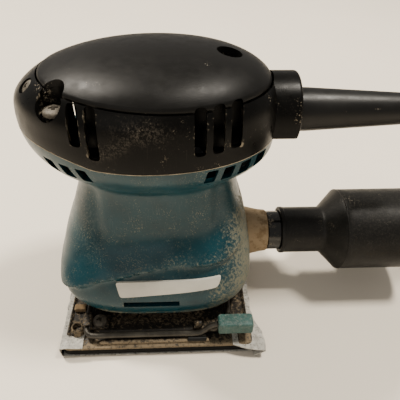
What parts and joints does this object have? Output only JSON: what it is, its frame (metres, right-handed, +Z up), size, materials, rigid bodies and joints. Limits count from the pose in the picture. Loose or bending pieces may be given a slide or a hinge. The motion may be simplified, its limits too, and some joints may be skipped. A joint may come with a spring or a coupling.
{
  "type": "orbital sander",
  "caption": "Palm-grip quarter-sheet orbital sander with a wire paper clamp at each end, dust outlet, hose adapter and mains lead.",
  "frame": {"origin": "centre of the sanding face at rest, on the surface that the sander stands on", "axes": "+Z up through the motor, +X towards the cord and the dust outlet, +Y to the far side from the blank badge"},
  "size_m": [0.3463, 0.1457, 0.1453],
  "materials": {
    "black_plastic": "satin moulded, worn glossy on the side band",
    "soft_grip": "fine-grained soft overmould",
    "teal_plastic": "semi-gloss moulded, dusty and scratched",
    "blank_badge": "plain off-white, no lettering",
    "dusty_fitting": "plastic caked with sanding dust",
    "spout_plastic": "glossy black",
    "hose_rubber": "matt, scuffed",
    "cord_rubber": "smooth sheath",
    "screw_steel": "dull zinc plating with dust in the cross",
    "wire_steel": "dull spring wire",
    "plate_metal": "pressed plate with dust film",
    "shaft_steel": "ground",
    "weight_metal": "cast and turned",
    "lamination": "stacked sheet, varnished",
    "copper_wire": null,
    "brass": "drawn",
    "carbon": "pressed carbon",
    "foam": "closed-cell sponge",
    "abrasive_paper": "pale mottled backing, worn",
    "lever_green": "dusty grey-green grip"
  },
  "bodies": {
    "housing": {"handle_cover": "black_plastic", "top_grip": "soft_grip", "motor_housing": "teal_plastic", "front_screw_near": "screw_steel", "front_screw_far": "screw_steel", "rear_screw": "screw_steel", "nose_screw": "screw_steel", "name_badge": "blank_badge", "dust_outlet": "dusty_fitting", "dust_spout": "spout_plastic", "cord_guard": "cord_rubber", "cord_clamp": "black_plastic", "stator_core": "lamination", "field_coil_front": "copper_wire", "field_coil_rear": "copper_wire", "carbon_brush_near": "carbon", "carbon_brush_far": "carbon", "brush_holder_near": "brass", "brush_holder_far": "brass", "upper_bearing": "shaft_steel", "lower_bearing": "shaft_steel", "bearing_plate": "plate_metal", "foot_front_near": "hose_rubber", "foot_rear_near": "hose_rubber", "foot_front_far": "hose_rubber", "foot_rear_far": "hose_rubber", "switch_body": "black_plastic", "power_cord": "cord_rubber", "cord_coil": "cord_rubber", "cord_tail": "cord_rubber", "plug_body": "cord_rubber", "cord_tie": "black_plastic", "plug_pin_a": "brass", "plug_pin_b": "brass"},
    "rotor": {"motor_shaft": "shaft_steel", "counterweight": "weight_metal", "cooling_fan": "black_plastic", "armature_core": "lamination", "armature_winding": "copper_wire", "commutator": "copper_wire"},
    "pad": {"sanding_sheet": "abrasive_paper", "pad_cushion": "foam", "base_plate": "plate_metal", "pad_bearing": "shaft_steel", "clamp_strip_front": "plate_metal", "clamp_strip_rear": "plate_metal", "near_lever_bracket": "plate_metal", "near_bracket_screw": "screw_steel", "near_lever_hook": "plate_metal", "far_lever_bracket": "plate_metal", "far_bracket_screw": "screw_steel", "far_lever_hook": "plate_metal"},
    "near_lever": {"near_lever_wire": "wire_steel", "near_lever_grip": "lever_green"},
    "far_lever": {"far_lever_wire": "wire_steel", "far_lever_grip": "lever_green"},
    "rocker": {"switch_rocker": "black_plastic"},
    "adapter": {"hose_adapter": "hose_rubber"}
  },
  "joints": [
    {"name": "rotor_spin", "type": "hinge", "parent": "housing", "child": "rotor", "pos_m": [-0.00075, 0, 0.07], "axis": [0, 0, 1], "continuous": true},
    {"name": "pad_orbit", "type": "hinge", "parent": "rotor", "child": "pad", "pos_m": [0, 0, 0.0144], "axis": [0, 0, 1], "continuous": true},
    {"name": "near_lever_swing", "type": "hinge", "parent": "pad", "child": "near_lever", "pos_m": [-0.0382, -0.005, 0.0112], "axis": [0, -1, 0], "range_deg": [0, 60]},
    {"name": "far_lever_swing", "type": "hinge", "parent": "pad", "child": "far_lever", "pos_m": [0.0382, 0.005, 0.0112], "axis": [0, 1, 0], "range_deg": [0, 60]},
    {"name": "switch_rock", "type": "hinge", "parent": "housing", "child": "rocker", "pos_m": [0, 0.0385, 0.1195], "axis": [0, 0, -1], "range_deg": [0, 12]},
    {"name": "adapter_pull", "type": "slide", "parent": "housing", "child": "adapter", "axis": [1, 0, 0], "range_m": [0, 0.02]}
  ],
  "couplings": [
    {"joint": "pad_orbit", "follows": "rotor_spin", "ratio": -1}
  ]
}
